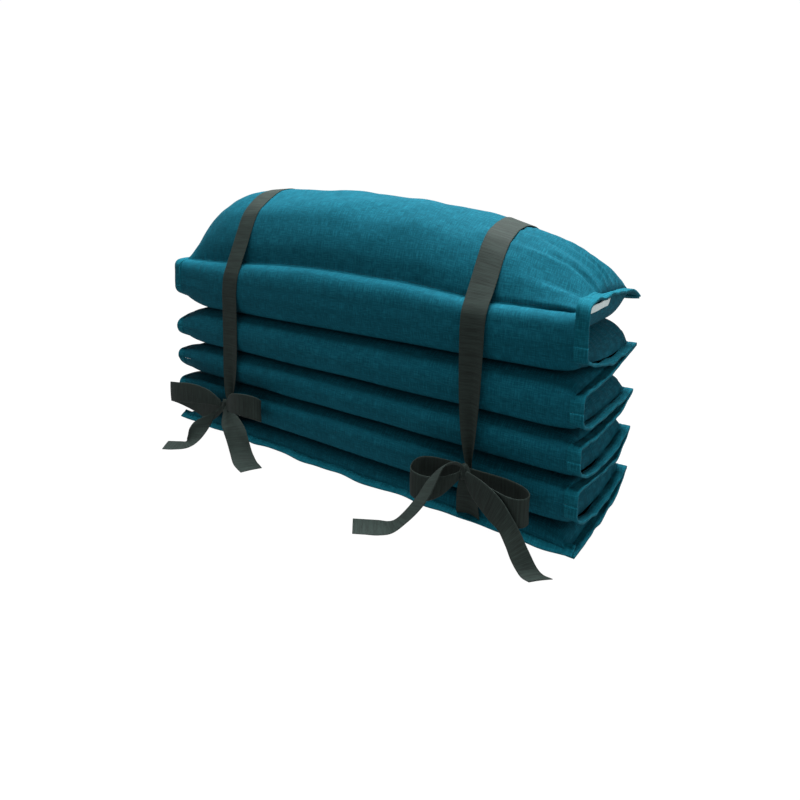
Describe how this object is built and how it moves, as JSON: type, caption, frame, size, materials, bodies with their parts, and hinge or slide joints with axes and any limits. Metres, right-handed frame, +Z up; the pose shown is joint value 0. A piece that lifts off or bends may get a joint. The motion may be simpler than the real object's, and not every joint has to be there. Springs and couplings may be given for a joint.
{
  "type": "fold-up futon mattress",
  "caption": "Quilted futon mattress of flat pads and a thick pillow pad, sewn end to end, folded into a stack and tied with two ribbon bows.",
  "frame": {"origin": "on the floor under the middle of the lowest pad's underside, half-way between the front and back folds", "axes": "+X along the mattress's width, -Y towards the side with the bows, +Z up through the stack"},
  "size_m": [0.65, 0.2961, 0.37],
  "materials": {
    "cover_cloth": "plain-weave slubbed cotton, teal, matt",
    "hem_cloth": "the same teal cotton folded double and topstitched",
    "filling": "loose kapok and cotton batting",
    "thread": "dark teal sewing thread and corded seam",
    "ribbon": "dark grey-green ribbed cotton tape",
    "label": "blank white satin tape"
  },
  "bodies": {
    "panel_1": {"panel_1_cover": "cover_cloth", "panel_1_filling": "filling", "panel_1_side_hems": "hem_cloth", "fold_seam_1": "thread", "foot_hem": "hem_cloth", "left_ribbon_band": "ribbon", "left_bow_knot": "ribbon", "left_bow_outer_loop": "ribbon", "left_bow_inner_loop": "ribbon", "left_bow_outer_tail": "ribbon", "left_bow_inner_tail": "ribbon", "right_ribbon_band": "ribbon", "right_bow_knot": "ribbon", "right_bow_outer_loop": "ribbon", "right_bow_inner_loop": "ribbon", "right_bow_outer_tail": "ribbon", "right_bow_inner_tail": "ribbon"},
    "panel_2": {"panel_2_cover": "cover_cloth", "panel_2_filling": "filling", "panel_2_side_hems": "hem_cloth", "fold_seam_2": "thread"},
    "panel_3": {"panel_3_cover": "cover_cloth", "panel_3_filling": "filling", "panel_3_side_hems": "hem_cloth", "fold_seam_3": "thread"},
    "panel_4": {"panel_4_cover": "cover_cloth", "panel_4_filling": "filling", "panel_4_side_hems": "hem_cloth", "fold_seam_4": "thread"},
    "panel_5": {"panel_5_cover": "cover_cloth", "panel_5_filling": "filling", "panel_5_side_hems": "hem_cloth", "fold_seam_5": "thread"},
    "panel_6": {"panel_6_cover": "cover_cloth", "panel_6_filling": "filling", "panel_6_side_hems": "hem_cloth", "fold_seam_6": "thread"},
    "panel_7": {"panel_7_cover": "cover_cloth", "panel_7_filling": "filling", "panel_7_side_hems": "hem_cloth", "fold_seam_7": "thread"},
    "panel_8": {"panel_8_cover": "cover_cloth", "panel_8_filling": "filling", "panel_8_side_hems": "hem_cloth", "fold_seam_8": "thread"},
    "pillow": {"pillow_cover": "cover_cloth", "pillow_filling": "filling", "pillow_side_hems": "hem_cloth", "pillow_head_hem": "hem_cloth", "pillow_crease_cord": "thread", "care_label": "label"}
  },
  "joints": [
    {"name": "fold_1", "type": "hinge", "parent": "panel_1", "child": "panel_2", "pos_m": [0, 0.0975, 0.03], "axis": [-1, 0, 0], "range_deg": [0, 180], "deforming": ["left_ribbon_band", "left_bow_knot", "left_bow_outer_loop", "left_bow_inner_loop", "left_bow_outer_tail", "left_bow_inner_tail", "right_ribbon_band", "right_bow_knot", "right_bow_outer_loop", "right_bow_inner_loop", "right_bow_outer_tail", "right_bow_inner_tail"]},
    {"name": "fold_2", "type": "hinge", "parent": "panel_2", "child": "panel_3", "pos_m": [0, -0.0975, 0.06], "axis": [1, 0, 0], "range_deg": [0, 180]},
    {"name": "fold_3", "type": "hinge", "parent": "panel_3", "child": "panel_4", "pos_m": [0, 0.0975, 0.083], "axis": [-1, 0, 0], "range_deg": [0, 180]},
    {"name": "fold_4", "type": "hinge", "parent": "panel_4", "child": "panel_5", "pos_m": [0, -0.0975, 0.106], "axis": [1, 0, 0], "range_deg": [0, 180]},
    {"name": "fold_5", "type": "hinge", "parent": "panel_5", "child": "panel_6", "pos_m": [0, 0.0975, 0.131], "axis": [-1, 0, 0], "range_deg": [0, 180]},
    {"name": "fold_6", "type": "hinge", "parent": "panel_6", "child": "panel_7", "pos_m": [0, -0.0975, 0.156], "axis": [1, 0, 0], "range_deg": [0, 180]},
    {"name": "fold_7", "type": "hinge", "parent": "panel_7", "child": "panel_8", "pos_m": [0, 0.0975, 0.189], "axis": [-1, 0, 0], "range_deg": [0, 180]},
    {"name": "fold_8", "type": "hinge", "parent": "panel_8", "child": "pillow", "pos_m": [0, -0.0975, 0.222], "axis": [1, 0, 0], "range_deg": [0, 180]}
  ],
  "couplings": [
    {"joint": "fold_2", "follows": "fold_1", "ratio": 1},
    {"joint": "fold_3", "follows": "fold_1", "ratio": 1},
    {"joint": "fold_4", "follows": "fold_1", "ratio": 1},
    {"joint": "fold_5", "follows": "fold_1", "ratio": 1},
    {"joint": "fold_6", "follows": "fold_1", "ratio": 1},
    {"joint": "fold_7", "follows": "fold_1", "ratio": 1},
    {"joint": "fold_8", "follows": "fold_1", "ratio": 1}
  ]
}
